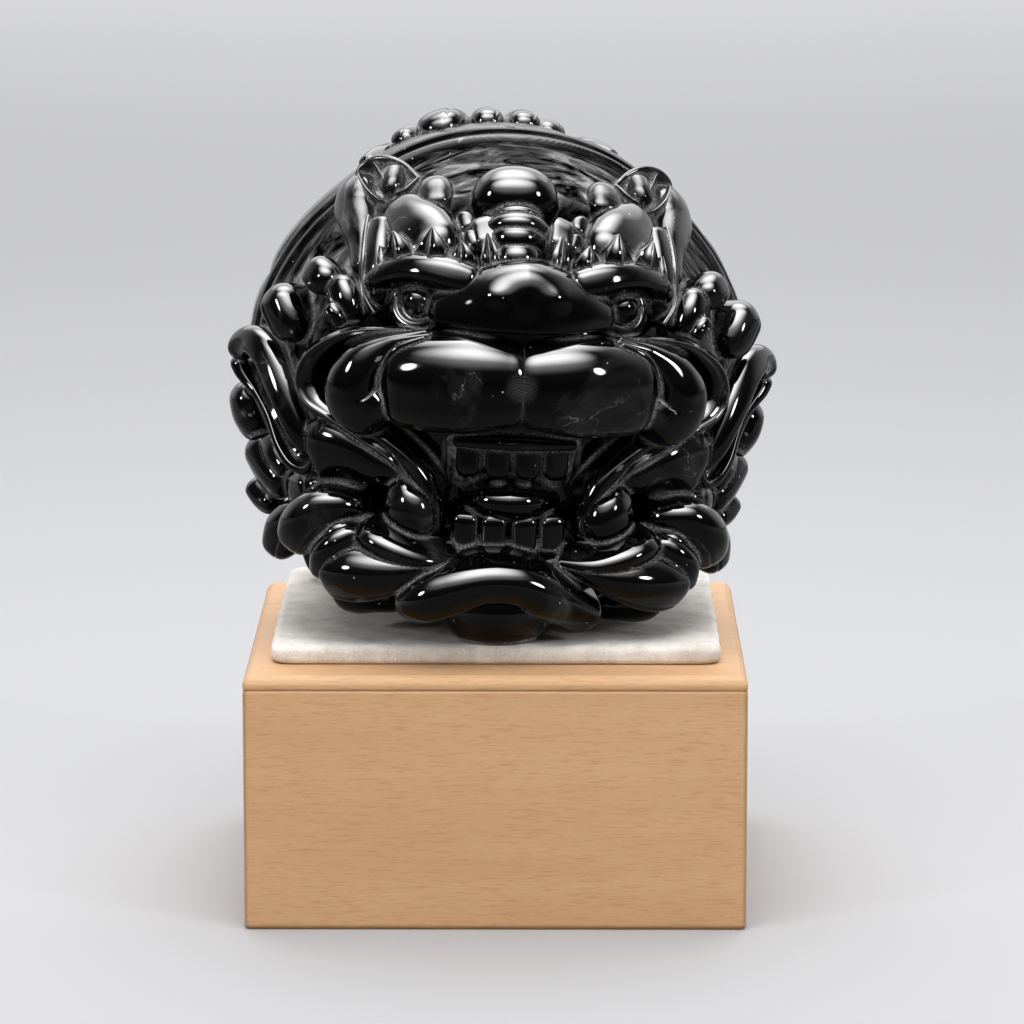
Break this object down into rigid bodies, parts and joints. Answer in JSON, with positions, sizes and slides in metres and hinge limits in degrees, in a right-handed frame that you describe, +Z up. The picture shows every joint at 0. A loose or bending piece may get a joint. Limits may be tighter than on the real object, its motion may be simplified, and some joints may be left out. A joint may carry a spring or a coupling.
{
  "type": "carved dragon turtle figurine on a display box",
  "caption": "Ball-shaped dragon turtle carved in polished black stone, resting on a felt pad on the lift-off lid of a pale wooden display box.",
  "frame": {"origin": "middle of the box's underside", "axes": "+Z up, -Y towards the viewer that the face looks at, +X to that viewer's right"},
  "size_m": [0.1213, 0.1209, 0.1727],
  "materials": {
    "maple": "satin",
    "felt": "matte",
    "obsidian": "polished"
  },
  "bodies": {
    "box": {"box_front": "maple", "box_back": "maple", "box_left": "maple", "box_right": "maple", "box_floor": "maple"},
    "lid": {"lid_board": "maple", "lid_battens": "maple", "felt_pad": "felt"},
    "carving": {"shell": "obsidian", "head_core": "obsidian", "plastron": "obsidian", "upper_lip": "obsidian", "nose": "obsidian", "forehead_crest": "obsidian", "left_lip_folds": "obsidian", "right_lip_folds": "obsidian", "left_brow": "obsidian", "right_brow": "obsidian", "left_cheek": "obsidian", "right_cheek": "obsidian", "left_temple": "obsidian", "right_temple": "obsidian", "left_horn": "obsidian", "right_horn": "obsidian", "left_whisker": "obsidian", "right_whisker": "obsidian", "beard": "obsidian", "left_beard": "obsidian", "right_beard": "obsidian", "left_mane": "obsidian", "right_mane": "obsidian", "left_forefoot": "obsidian", "right_forefoot": "obsidian", "left_hindfoot": "obsidian", "right_hindfoot": "obsidian", "tail": "obsidian", "left_eye": "obsidian", "right_eye": "obsidian", "lower_lip": "obsidian", "upper_teeth": "obsidian", "lower_teeth": "obsidian", "tongue": "obsidian", "throat_pearl": "obsidian"}
  },
  "joints": [
    {"name": "lid_lift", "type": "slide", "parent": "box", "child": "lid", "axis": [0, 0, 1], "range_m": [0, 0.06]},
    {"name": "carving_lift", "type": "slide", "parent": "lid", "child": "carving", "axis": [0, 0, 1], "range_m": [0, 0.04]}
  ]
}
